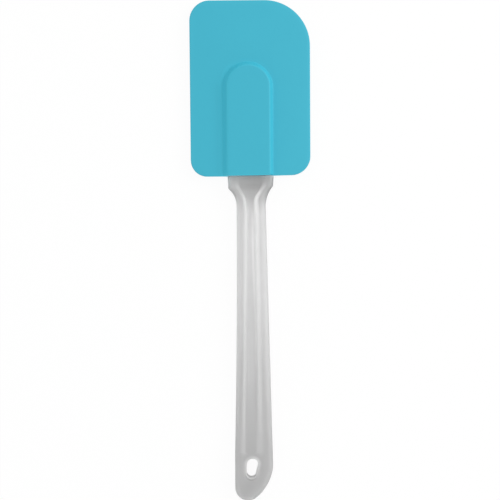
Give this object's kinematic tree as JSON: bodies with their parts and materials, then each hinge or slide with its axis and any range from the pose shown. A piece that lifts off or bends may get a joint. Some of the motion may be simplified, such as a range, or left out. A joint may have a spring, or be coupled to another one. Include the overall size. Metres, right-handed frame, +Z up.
{
  "type": "silicone spatula",
  "caption": "Flat kitchen spatula: a flexible silicone blade with a large rounded corner, pushed onto the tongue of a ridged translucent plastic handle with a hanging slot.",
  "frame": {"origin": "on the table under the middle of the spatula's bounding box, with the spatula lying face up", "axes": "+Y from the hook end of the handle to the tip of the blade, +X to the side of the blade's large rounded corner, +Z up from the table"},
  "size_m": [0.0603, 0.25, 0.009],
  "materials": {
    "silicone": "fine matt silicone, turquoise blue",
    "frosted_plastic": "frosted translucent polypropylene, uncoloured"
  },
  "bodies": {
    "handle": {"handle": "frosted_plastic"},
    "blade": {"blade": "silicone"}
  },
  "joints": [
    {"name": "blade_pull_off", "type": "slide", "parent": "handle", "child": "blade", "axis": [0, 1, 0], "range_m": [0, 0.058]}
  ]
}
